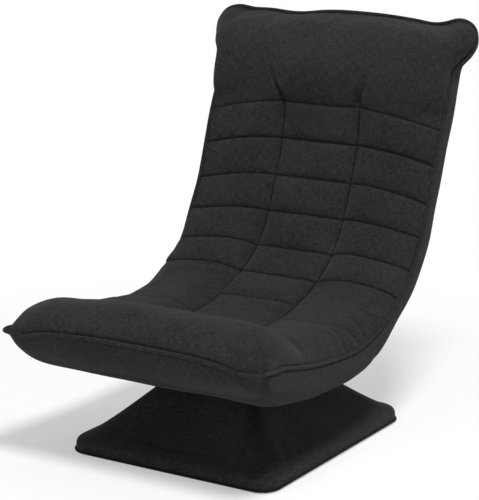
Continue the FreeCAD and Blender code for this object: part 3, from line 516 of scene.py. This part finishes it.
# creases that run up from the column seams into the head pad, at the ears, round the seat's corners, at the
# ends of the front roll and across the lap: points as (share, station), depth and width
FOLDS = [(((-0.30, 15.95), (-0.345, 16.6), (-0.41, 17.9)), 9.0, 5.0),
         (((-0.28, 16.1), (-0.315, 16.7), (-0.375, 17.8)), -3.5, 6.0),
         (((0.30, 15.95), (0.33, 16.5), (0.37, 17.5)), 9.5, 6.5),
         (((0.35, 16.1), (0.38, 16.6), (0.42, 17.4)), -3.0, 6.0),
         (((0.975, 18.7), (0.955, 19.6), (0.92, 20.7)), 8.0, 5.0),
         (((-0.975, 18.7), (-0.955, 19.6), (-0.92, 20.7)), 6.0, 5.0),
         (((0.97, 8.0), (0.88, 8.15), (0.76, 8.5)), 3.6, 4.0),
         (((0.97, 8.8), (0.87, 9.0), (0.76, 9.3)), 4.0, 4.0),
         (((0.97, 9.6), (0.86, 9.8), (0.74, 10.0)), 4.0, 4.0),
         (((0.97, 10.3), (0.86, 10.45), (0.72, 10.5)), 3.8, 4.0),
         (((0.97, 7.2), (0.88, 7.3), (0.78, 7.6)), 3.0, 4.0),
         (((-0.97, 8.6), (-0.87, 8.8), (-0.76, 9.1)), 2.0, 5.0),
         (((-0.97, 9.6), (-0.86, 9.8), (-0.74, 10.0)), 2.2, 5.0),
         (((-0.97, 7.4), (-0.88, 7.5), (-0.78, 7.8)), 1.6, 5.0),
         (((0.985, 0.9), (0.95, 1.3), (0.90, 1.9), (0.86, 2.6)), 6.0, 6.0),
         (((0.86, 0.2), (0.85, 1.2), (0.84, 2.0)), 2.5, 5.0),
         (((-0.95, 0.3), (-0.90, 1.6), (-0.86, 2.6)), 3.0, 6.0),
         (((-0.88, 0.2), (-0.86, 1.2), (-0.85, 2.0)), 2.5, 5.0),
         (((-0.36, 10.85), (-0.6, 10.8), (-0.9, 10.9)), 3.0, 5.0)]
for line, depth, width in FOLDS:
    sink += depth * fold_depth(u_at, v_at, [spot(*p) for p in line], width)
# gathers where the cloth is drawn into a seam, and a slight unevenness all over
for k in range(LAST_SIDE_ROW, TOP_ROW + 1):
    near = np.exp(-((v_at - v_row[row_station[k]]) / GATHER_REACH) ** 2)
    sink += ROW_GATHER * near * (1 - groove) * np.sin(u_at / 3.6 + 1.7 * k + 1.1 * np.sin(u_at / 17.0 + k))
for sign, j in zip((-1, 1), seam_columns):
    near = np.exp(-((u_at - u_at[:, j][:, None]) / GATHER_REACH) ** 2) * columned[:, None]
    sink += COLUMN_GATHER * near * (1 - groove) * np.sin(v_at / 3.4 + 1.3 * np.sin(v_at / 19.0) + sign)
for fu, fv, phase in PANEL_WAVES:
    sink += PANEL_WAVE_HEIGHT * np.sin(u_at * fu + v_at * fv + phase)
margin = np.minimum(np.arange(COLUMNS), np.arange(COLUMNS)[::-1])[None, :]
rim = np.minimum(np.arange(ROWS), np.arange(ROWS)[::-1])[:, None]
sink *= smooth_step(np.minimum(margin, rim) / 4.0)
panel -= normals * sink[:, :, None]


def closed_pad(name, grid):
    """The swollen front with a plain lining behind it, sewn together at the welt."""
    rows, columns = grid.shape[:2]
    faces = [tuple(f) for f in grid_faces(rows, columns)]
    behind = []
    for i in range(1, rows - 1):
        back = seam[i] - toward[i] * LINING_DEPTH
        behind.extend((edge[i][0] * share, back[0], back[1]) for share in LINING_SHARES)
    verts = np.concatenate([grid.reshape(-1, 3), np.array(behind)])

    def line(i):
        first = rows * columns + (i - 1) * len(LINING_SHARES)
        return [i * columns] + [first + k for k in range(len(LINING_SHARES))] + [(i + 1) * columns - 1]

    for i in range(1, rows - 2):
        a, b = line(i), line(i + 1)
        faces.extend((a[k], b[k], b[k + 1], a[k + 1]) for k in range(len(a) - 1))
    for end, inner, turned in ((0, line(1), False), (rows - 1, line(rows - 2), True)):
        mark = np.array([verts[k][0] for k in inner])
        first = end * columns
        to = [inner[int(np.argmin(np.abs(mark - verts[first + k][0])))] for k in range(columns)]
        to[0], to[-1] = inner[0], inner[-1]
        for k in range(columns - 1):
            face = [first + k + 1, first + k, to[k]]
            if to[k + 1] != to[k]:
                face.append(to[k + 1])
            faces.append(tuple(face[::-1] if turned else face))
    return mesh_piece(name, place(verts), faces), len(behind)


pad, lining = closed_pad("quilted_panel", panel)
threads = np.stack([u_at, v_at, np.zeros_like(u_at)], axis=2).reshape(-1, 3) * MM
store(pad, "threads", np.concatenate([threads, np.zeros((lining, 3))]))
# painted shade: the quilt is darker in its seam grooves and along its border under the welt
painted_seam_shade = np.maximum(groove, 0.8 * (np.minimum(margin, rim) <= 1))
store(pad, "sewn", np.concatenate([painted_seam_shade.ravel(), np.zeros(lining)]))
subdivide(pad)


# cover under the seat and behind the back
def cover_half(i):
    """Cover at row i from the left welt to the middle: squarer behind the back than under the seat."""
    theta = np.linspace(0, math.pi / 2, 300)
    upright = np.clip((rear[i][1] - 170) / 120, 0, 1)
    x = np.cos(theta) ** (2 / 16)
    x[-1] = 0
    deep = np.sin(theta) ** (2 / (4 + upright))
    line = np.column_stack([edge[i][0] * x, edge[i][1:] + (rear[i] - edge[i][1:]) * deep[:, None]])
    return read_line(line, np.linspace(0, 1, COVER_CELLS + 1))


shell = np.array([cover_half(i) for i in range(ROWS)])
welt_half = panel[:, HALF - 1:]
pull = np.linspace(1, 0, COVER_CELLS + 1)[:, None] ** 3
for i in range(ROWS):
    shell[i] += (welt_half[i, -1] - shell[i, 0]) * pull
even = np.linspace(0, 1, COVER_CELLS + 1)
settle(shell, list(range(COVER_FRONT_ROWS)), read_line(welt_half[0][::-1], even))
settle(shell, list(range(ROWS - 1, ROWS - 1 - COVER_TOP_ROWS, -1)), read_line(welt_half[-1][::-1], even))
cover_grid = np.concatenate([shell, shell[:, -2::-1] * np.array([-1, 1, 1])], axis=1)
from_welt = np.arange(cover_grid.shape[1])[::-1]
fading = smooth_step(1 - from_welt / BAND_COLUMNS)[None, :]
draw_in(cover_grid, UNDERSIDE_DRAW + (1 - UNDERSIDE_DRAW) * fading)
sway(cover_grid)
out_way = grid_normals(cover_grid)
cu, cv = thread_lengths(cover_grid)
fold_row = np.interp(HINGE_FOLD, rank, cv[:, 0])
dent = FOLD_DENT * np.exp(-((cv - fold_row) / 8.0) ** 2)
for fu, fv, phase in COVER_WAVES:
    dent += COVER_WAVE_HEIGHT * np.sin(cu * fu + cv * fv + phase)
ends = np.minimum(np.arange(ROWS), np.arange(ROWS)[::-1])[:, None]
sides = np.minimum(np.arange(cover_grid.shape[1]), np.arange(cover_grid.shape[1])[::-1])[None, :]
cover_grid -= out_way * (dent * smooth_step(np.minimum(ends, sides) / 4.0))[:, :, None]
# painted shade: the cover is darker where it faces the floor under the seat and along its edge at the welt
painted_cover_shade = smooth_step((-out_way[:, :, 2] - 0.72) / 0.12) * (cover_grid[:, :, 1] < 60)
painted_cover_shade = np.maximum(painted_cover_shade, 0.7 * (np.minimum(ends, sides) < 1))
cover = mesh_piece("rear_cover", place(cover_grid).reshape(-1, 3), grid_faces(ROWS, cover_grid.shape[1]))
store(cover, "threads", np.stack([cu, cv, np.zeros_like(cu)], axis=2).reshape(-1, 3) * MM)
store(cover, "painted_cover_shade", painted_cover_shade.ravel())


def cut_round_hole(obj, centre, radius, top):
    """Opens a round hole in the underside and gives it a smooth edge."""
    work = bmesh.new()
    work.from_mesh(obj.data)
    doomed = []
    for face in work.faces:
        c = face.calc_center_median()
        if c.z < top and math.hypot(c.x - centre[0], c.y - centre[1]) < radius:
            doomed.append(face)
    bmesh.ops.delete(work, geom=doomed, context="FACES")
    for vert in work.verts:
        d = Vector((vert.co.x - centre[0], vert.co.y - centre[1]))
        if vert.is_boundary and vert.co.z < top and 0 < d.length < radius * 1.2:
            d = d.normalized() * radius
            vert.co.x = centre[0] + d.x
            vert.co.y = centre[1] + d.y
    work.to_mesh(obj.data)
    work.free()


cut_round_hole(cover, (0, SWIVEL_Y * MM), SWIVEL_OPENING * MM, UNDERSIDE_TOP)
thicken(cover, COVER_CLOTH, 1)
subdivide(cover)


def swept(name, path, radius, sides):
    """A round cord along a closed path."""
    count = len(path)
    ahead = np.roll(path, -1, axis=0) - np.roll(path, 1, axis=0)
    ahead /= np.linalg.norm(ahead, axis=1, keepdims=True)
    side = np.cross(ahead[0], [0.0, 0.0, 1.0])
    angle = np.linspace(0, 2 * math.pi, sides, endpoint=False)[:, None]
    verts = []
    for k in range(count):
        side = side - ahead[k] * np.dot(side, ahead[k])
        side /= np.linalg.norm(side)
        up = np.cross(ahead[k], side)
        verts.append(path[k] + (np.cos(angle) * side + np.sin(angle) * up) * radius)
    index = np.arange(count * sides).reshape(count, sides)
    after = np.roll(index, -1, axis=0)
    faces = np.stack([index, np.roll(index, -1, axis=1), np.roll(after, -1, axis=1), after], axis=2)
    return mesh_piece(name, np.concatenate(verts), faces.reshape(-1, 4))


def border(grid):
    """The points around a grid, in order."""
    return np.concatenate([grid[0], grid[1:, -1], grid[-1, -2::-1], grid[-2:0:-1, 0]])


# welt around the whole panel, standing a little proud of the two cloths that meet under it
inner_panel = border(np.pad(panel[5:-5, 5:-5], ((5, 5), (5, 5), (0, 0)), mode="edge"))
matching = np.linspace(0, cover_grid.shape[1] - 1, COLUMNS).round().astype(int)
cover_match = cover_grid[:, ::-1][:, matching]
inner_cover = border(np.pad(cover_match[5:-5, 6:-6], ((5, 5), (6, 6), (0, 0)), mode="edge"))
loop = border(panel)
outward = loop - 0.5 * (inner_panel + inner_cover)
outward /= np.linalg.norm(outward, axis=1, keepdims=True)
loop = loop + outward * WELT_PROUD
ring = np.vstack([loop, loop[:1]])
loop = read_line(ring, np.linspace(0, 1, WELT_POINTS + 1))[:-1]
for _ in range(6):
    loop = 0.5 * loop + 0.25 * (np.roll(loop, 1, axis=0) + np.roll(loop, -1, axis=0))
welt = swept("welt", place(loop), WELT_RADIUS * MM, WELT_SIDES)

# base cover: a soft rim over the ring and a sagging tent up to the hub
def rounded_outline(half_size, corner):
    """Points around a rounded rectangle, evenly spread from the middle of its +X side."""
    pts = []
    for k, (sx, sy) in enumerate(((1, 1), (-1, 1), (-1, -1), (1, -1))):
        centre = np.array([sx * (half_size[0] - corner), sy * (half_size[1] - corner)])
        a = np.radians(np.linspace(k * 90, k * 90 + 90, 24))
        pts.append(centre + corner * np.column_stack([np.cos(a), np.sin(a)]))
    start = np.array([[half_size[0], 0.0]])
    return read_line(np.vstack([start] + pts + [start]), np.linspace(0, 1, BASE_ROUND + 1))[:-1]


outer = rounded_outline(BASE_HALF, BASE_CORNER)
hub = rounded_outline(HUB_HALF, HUB_CORNER)
bearing = np.degrees(np.arctan2(outer[:, 1], outer[:, 0]))
corner_bearing = math.degrees(math.atan2(BASE_HALF[1] - 10, BASE_HALF[0] - 10))


def off_bearing(angle):
    """Bearing of each point around the base from an angle, in degrees."""
    return (bearing - angle + 180) % 360 - 180


ridge = np.zeros(BASE_ROUND)
for angle in (corner_bearing, 180 - corner_bearing, -corner_bearing, corner_bearing - 180):
    ridge = np.maximum(ridge, np.exp(-(off_bearing(angle) / 19.0) ** 2))
base_rows = []
for z, inset in RIM:
    base_rows.append(np.column_stack([outer * (1 - inset / BASE_HALF), np.full(BASE_ROUND, float(z))]))
foot_line = base_rows[-1][:, :2]
foot_z = RIM[-1][0]
near_corner = off_bearing(-corner_bearing)
# the cloth sags between the ridges, and is drawn in just inside the front rim
sag = 1.12 + 0.62 * (1 - ridge)
drawn = np.exp(-(off_bearing(-97) / 24.0) ** 2) + 0.25
for k in range(1, BASE_RISE + 1):
    f = k / BASE_RISE
    dip = 7.0 * math.exp(-((f - 0.16) / 0.05) ** 2) * drawn * (1 - ridge)
    # short folds fan out from the near corner
    fan = math.exp(-((f - 0.2) / 0.15) ** 2) * np.exp(-(near_corner / 13.0) ** 2)
    folds = 2.6 * fan * np.cos(near_corner * 0.75 + 0.6)
    waves = 0.8 * np.sin(bearing * 0.11 + 5.0 * f) * math.sin(math.pi * f)
    height = foot_z + (HUB_TOP - foot_z) * f ** sag - dip + folds + waves
    base_rows.append(np.column_stack([foot_line + (hub - foot_line) * f, height]))
base_grid = np.array(base_rows)
index = np.arange(base_grid.shape[0] * BASE_ROUND).reshape(-1, BASE_ROUND)
after = np.roll(index, -1, axis=1)
base_faces = np.stack([index[:-1], after[:-1], after[1:], index[1:]], axis=2).reshape(-1, 4)
base_cloth = mesh_piece("base_cloth", place(base_grid).reshape(-1, 3), base_faces)
thicken(base_cloth, BASE_CLOTH, -1)
subdivide(base_cloth)
hem_path = np.column_stack([outer * (1 - HEM_INSET / BASE_HALF), np.full(BASE_ROUND, HEM_HEIGHT)])
hem = swept("base_hem_tape", place(hem_path), HEM_RADIUS * MM, 10)


def nodes_of(material):
    """A cleared node tree with one shader."""
    material.use_nodes = True
    tree = material.node_tree
    tree.nodes.clear()
    out = tree.nodes.new("ShaderNodeOutputMaterial")
    shader = tree.nodes.new("ShaderNodeBsdfPrincipled")
    tree.links.new(shader.outputs["BSDF"], out.inputs["Surface"])
    return tree, shader


def math_node(tree, operation, a, b):
    node = tree.nodes.new("ShaderNodeMath")
    node.operation = operation
    for socket, value in zip(node.inputs, (a, b)):
        if isinstance(value, (int, float)):
            socket.default_value = value
        else:
            tree.links.new(value, socket)
    return node.outputs[0]


def attribute_of(tree, name, output):
    node = tree.nodes.new("ShaderNodeAttribute")
    node.attribute_name = name
    return node.outputs[output]


def stretched_noise(tree, coords, scale, detail):
    """Noise with its own scale along each axis."""
    mapping = tree.nodes.new("ShaderNodeVectorMath")
    mapping.operation = "MULTIPLY"
    mapping.inputs[1].default_value = scale
    tree.links.new(coords, mapping.inputs[0])
    noise = tree.nodes.new("ShaderNodeTexNoise")
    noise.inputs["Scale"].default_value = 1.0
    noise.inputs["Detail"].default_value = detail
    tree.links.new(mapping.outputs[0], noise.inputs["Vector"])
    return noise.outputs["Fac"]


def bands(tree, coords, direction, pitch):
    """Wavering yarns at a pitch."""
    wave = tree.nodes.new("ShaderNodeTexWave")
    wave.wave_type = "BANDS"
    wave.bands_direction = direction
    wave.inputs["Scale"].default_value = math.pi / 10 / pitch
    wave.inputs["Distortion"].default_value = 1.5
    wave.inputs["Detail"].default_value = 1.0
    wave.inputs["Detail Scale"].default_value = 2.0
    tree.links.new(coords, wave.inputs["Vector"])
    return wave.outputs["Fac"]


def woven(name, dark, light, pitch, threads=False, painted_shade=None):
    """Heathered plain weave: two sets of uneven yarns, darker by an amount of painted shade where an
    attribute says.
    """
    material = bpy.data.materials.new(name)
    tree, shader = nodes_of(material)
    if threads:
        coords = attribute_of(tree, "threads", "Vector")
    else:
        coords = tree.nodes.new("ShaderNodeTexCoord").outputs["Object"]
    fine = 1.0 / pitch
    warp = stretched_noise(tree, coords, (fine * 0.9, fine * 0.11, fine * 0.3), 2.0)
    weft = stretched_noise(tree, coords, (fine * 0.11, fine * 0.9, fine * 0.3), 2.0)
    heather = math_node(tree, "MULTIPLY", math_node(tree, "ADD", warp, weft), 0.5)
    cloud = stretched_noise(tree, coords, (9.0, 9.0, 9.0), 3.0)
    tone = math_node(tree, "MULTIPLY", heather, 0.85)
    tone = math_node(tree, "ADD", tone, math_node(tree, "MULTIPLY", cloud, 0.15))
    if painted_shade:
        where, amount = painted_shade
        shade = math_node(tree, "MULTIPLY", attribute_of(tree, where, "Fac"), amount)
        tone = math_node(tree, "SUBTRACT", tone, shade)
    ramp = tree.nodes.new("ShaderNodeValToRGB")
    ramp.color_ramp.elements[0].position = 0.38
    ramp.color_ramp.elements[0].color = (*dark, 1)
    ramp.color_ramp.elements[1].position = 0.62
    ramp.color_ramp.elements[1].color = (*light, 1)
    tree.links.new(tone, ramp.inputs["Fac"])
    tree.links.new(ramp.outputs["Color"], shader.inputs["Base Color"])
    weave = math_node(tree, "MULTIPLY", bands(tree, coords, "X", pitch), bands(tree, coords, "Y", pitch))
    relief = math_node(tree, "ADD", weave, math_node(tree, "MULTIPLY", heather, 1.2))
    bump = tree.nodes.new("ShaderNodeBump")
    bump.inputs["Strength"].default_value = 0.5
    bump.inputs["Distance"].default_value = 0.0006
    tree.links.new(relief, bump.inputs["Height"])
    tree.links.new(bump.outputs["Normal"], shader.inputs["Normal"])
    shader.inputs["Roughness"].default_value = 0.95
    shader.inputs["Specular IOR Level"].default_value = 0.12
    shader.inputs["Sheen Weight"].default_value = 0.06
    shader.inputs["Sheen Roughness"].default_value = 0.5
    shader.inputs["Sheen Tint"].default_value = (0.6, 0.6, 0.62, 1)
    return material


def grained(name, colour, roughness, metallic, grain):
    """Paint, plating, rubber or foam with a fine uneven surface."""
    material = bpy.data.materials.new(name)
    tree, shader = nodes_of(material)
    coords = tree.nodes.new("ShaderNodeTexCoord").outputs["Object"]
    speck = stretched_noise(tree, coords, (grain, grain, grain), 4.0)
    ramp = tree.nodes.new("ShaderNodeValToRGB")
    ramp.color_ramp.elements[0].color = (*[c * 0.75 for c in colour], 1)
    ramp.color_ramp.elements[1].color = (*[min(1, c * 1.2) for c in colour], 1)
    tree.links.new(speck, ramp.inputs["Fac"])
    tree.links.new(ramp.outputs["Color"], shader.inputs["Base Color"])
    rough = math_node(tree, "ADD", math_node(tree, "MULTIPLY", speck, 0.2), roughness - 0.1)
    tree.links.new(rough, shader.inputs["Roughness"])
    shader.inputs["Metallic"].default_value = metallic
    bump = tree.nodes.new("ShaderNodeBump")
    bump.inputs["Strength"].default_value = 0.15
    bump.inputs["Distance"].default_value = 0.0002
    tree.links.new(speck, bump.inputs["Height"])
    tree.links.new(bump.outputs["Normal"], shader.inputs["Normal"])
    return material


WEAVE = 0.0015
STRAP_WEAVE = 0.0018
# dark and light yarns
BLACK_YARN, GREY_YARN = (0.0065, 0.0065, 0.0068), (0.028, 0.028, 0.029)
COVER_BLACK, COVER_GREY = (0.0055, 0.0055, 0.0058), (0.025, 0.025, 0.026)
# the quilt's yarns are darkened by painted shade in the seams and under the welt
quilt_cloth = woven("quilt_cloth", BLACK_YARN, GREY_YARN, WEAVE, True, ("sewn", 0.2))
# the cover's yarns are darkened by painted shade under the seat and at the welt
cover_cloth = woven("cover_cloth", COVER_BLACK, COVER_GREY, WEAVE, True, ("painted_cover_shade", 0.3))
welt_cloth = woven("welt_cloth", BLACK_YARN, COVER_GREY, WEAVE)
base_fabric = woven("base_fabric", BLACK_YARN, GREY_YARN, WEAVE)
# the hem tape is real, and its very dark yarns also paint the shade under the base's rim
hem_fabric_painted_shade = woven("hem_fabric_painted_shade", (0.003, 0.003, 0.0032), (0.009, 0.009, 0.0095), WEAVE)
strap_cloth = woven("strap_cloth", (0.02, 0.02, 0.02), (0.06, 0.06, 0.06), STRAP_WEAVE)
foam = grained("foam", (0.55, 0.5, 0.36), 0.95, 0.0, 900.0)
black_paint = grained("black_paint", (0.012, 0.012, 0.012), 0.42, 0.0, 700.0)
zinc = grained("zinc", (0.55, 0.55, 0.53), 0.34, 1.0, 260.0)
nylon = grained("nylon", (0.62, 0.6, 0.54), 0.5, 0.0, 300.0)
rubber = grained("rubber", (0.014, 0.014, 0.014), 0.8, 0.0, 500.0)


def dress(obj, material):
    obj.data.materials.clear()
    obj.data.materials.append(material)


by_slot = {"rubber": rubber, "base_fabric": base_fabric, "hem_tape": hem_fabric_painted_shade, "webbing": strap_cloth,
           "foam": foam, "welt_fabric": welt_cloth, "cover_fabric": cover_cloth, "quilt_fabric": quilt_cloth,
           "cage_plastic": nylon, "frame_paint": black_paint, "zinc_steel": zinc}
for part in frame["record"]["subparts"]:
    dress(frame["nodes"][part["node"]], by_slot[part["material_slot"]])
for obj, slot in ((pad, "quilt_fabric"), (cover, "cover_fabric"), (welt, "welt_fabric"),
                  (base_cloth, "base_fabric"), (hem, "hem_tape")):
    dress(obj, by_slot[slot])

# the quilted cloth is baked into place, and the base cloth and its hem go with the base
for obj in (pad, cover, welt):
    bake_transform(obj)
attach(base_cloth, "base")
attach(hem, "base")
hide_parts("seat_pad_left", "seat_pad_centre", "seat_pad_right", "back_pad_left", "back_pad_centre",
            "back_pad_right", "bend_pad", "front_roll", "head_pad")
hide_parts("seat_cover", "back_cover", "bend_cover")
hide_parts("seat_welt", "back_welt")
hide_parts("base_cover")
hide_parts("base_hem")

def seen_directly(tree):
    """One for what the camera sees, also in a mirror or through glass, and zero for light on other things."""
    rays = tree.nodes.new("ShaderNodeLightPath")
    seen = math_node(tree, "MAXIMUM", rays.outputs["Is Camera Ray"], rays.outputs["Is Glossy Ray"])
    return math_node(tree, "MAXIMUM", seen, rays.outputs["Is Transmission Ray"])


def mixed(tree, share, first, second, out):
    """Mixes two shaders by a share and sends the mix to an output."""
    mix = tree.nodes.new("ShaderNodeMixShader")
    tree.links.new(share, mix.inputs[0])
    tree.links.new(first, mix.inputs[1])
    tree.links.new(second, mix.inputs[2])
    tree.links.new(mix.outputs[0], out.inputs["Surface"])


# floor, light and camera
bpy.ops.mesh.primitive_plane_add(size=30)
floor = bpy.context.object
floor.name = "floor"
floor_material = bpy.data.materials.new("floor")
tree, shader = nodes_of(floor_material)
shader.inputs["Base Color"].default_value = (0.88, 0.88, 0.88, 1)
shader.inputs["Roughness"].default_value = 0.9
# away from the object the floor passes into a white backdrop
out = next(n for n in tree.nodes if n.bl_idname == "ShaderNodeOutputMaterial")
glow = tree.nodes.new("ShaderNodeEmission")
glow.inputs["Color"].default_value = (1, 1, 1, 1)
glow.inputs["Strength"].default_value = 1.0
spread = tree.nodes.new("ShaderNodeVectorMath")
spread.operation = "LENGTH"
tree.links.new(tree.nodes.new("ShaderNodeTexCoord").outputs["Object"], spread.inputs[0])
reach = tree.nodes.new("ShaderNodeMapRange")
reach.interpolation_type = "SMOOTHSTEP"
reach.inputs["From Min"].default_value = 0.45
reach.inputs["From Max"].default_value = 1.3
reach.inputs["To Min"].default_value = 0.4
tree.links.new(spread.outputs["Value"], reach.inputs["Value"])
white_share = math_node(tree, "MULTIPLY", reach.outputs["Result"], seen_directly(tree))
mixed(tree, white_share, shader.outputs["BSDF"], glow.outputs[0], out)
dress(floor, floor_material)

world = bpy.data.worlds.new("studio")
bpy.context.scene.world = world
world.use_nodes = True
tree = world.node_tree
tree.nodes.clear()
out = tree.nodes.new("ShaderNodeOutputWorld")
ambient = tree.nodes.new("ShaderNodeBackground")
ambient.inputs["Color"].default_value = (1, 1, 1, 1)
ambient.inputs["Strength"].default_value = 0.25
white = tree.nodes.new("ShaderNodeBackground")
white.inputs["Color"].default_value = (1, 1, 1, 1)
white.inputs["Strength"].default_value = 1.0
mixed(tree, seen_directly(tree), ambient.outputs[0], white.outputs[0], out)


def lamp(name, spot_at, target, size, power):
    """A round soft lamp aimed at a target."""
    data = bpy.data.lights.new(name, "AREA")
    data.shape = "DISK"
    data.size = size
    data.energy = power
    obj = bpy.data.objects.new(name, data)
    bpy.context.scene.collection.objects.link(obj)
    obj.location = spot_at
    aim = Vector(target) - Vector(spot_at)
    obj.rotation_euler = aim.to_track_quat("-Z", "Y").to_euler()


lamp("key", (1.55, -1.5, 3.9), (0, 0, 0.4), 1.0, 172)
lamp("fill", (-1.4, -3.2, 1.3), (0, 0, 0.4), 1.6, 28)
lamp("rim", (0.4, 2.6, 2.4), (0, 0, 0.5), 2.0, 25)

camera_data = bpy.data.cameras.new("camera")
camera = bpy.data.objects.new("camera", camera_data)
bpy.context.scene.collection.objects.link(camera)
camera.location = (1.78792, -2.88152, 1.16501)
look_at = Vector((0.0, -0.031, 0.36252))
camera.rotation_euler = (look_at - camera.location).to_track_quat("-Z", "Y").to_euler()
IMAGE_HEIGHT = 500.0
FOCAL_PIXELS = 1856.584
camera_data.sensor_fit = "VERTICAL"
camera_data.sensor_height = 24.0
camera_data.lens = FOCAL_PIXELS * camera_data.sensor_height / IMAGE_HEIGHT
bpy.context.scene.camera = camera
bpy.context.scene.view_settings.view_transform = "Standard"
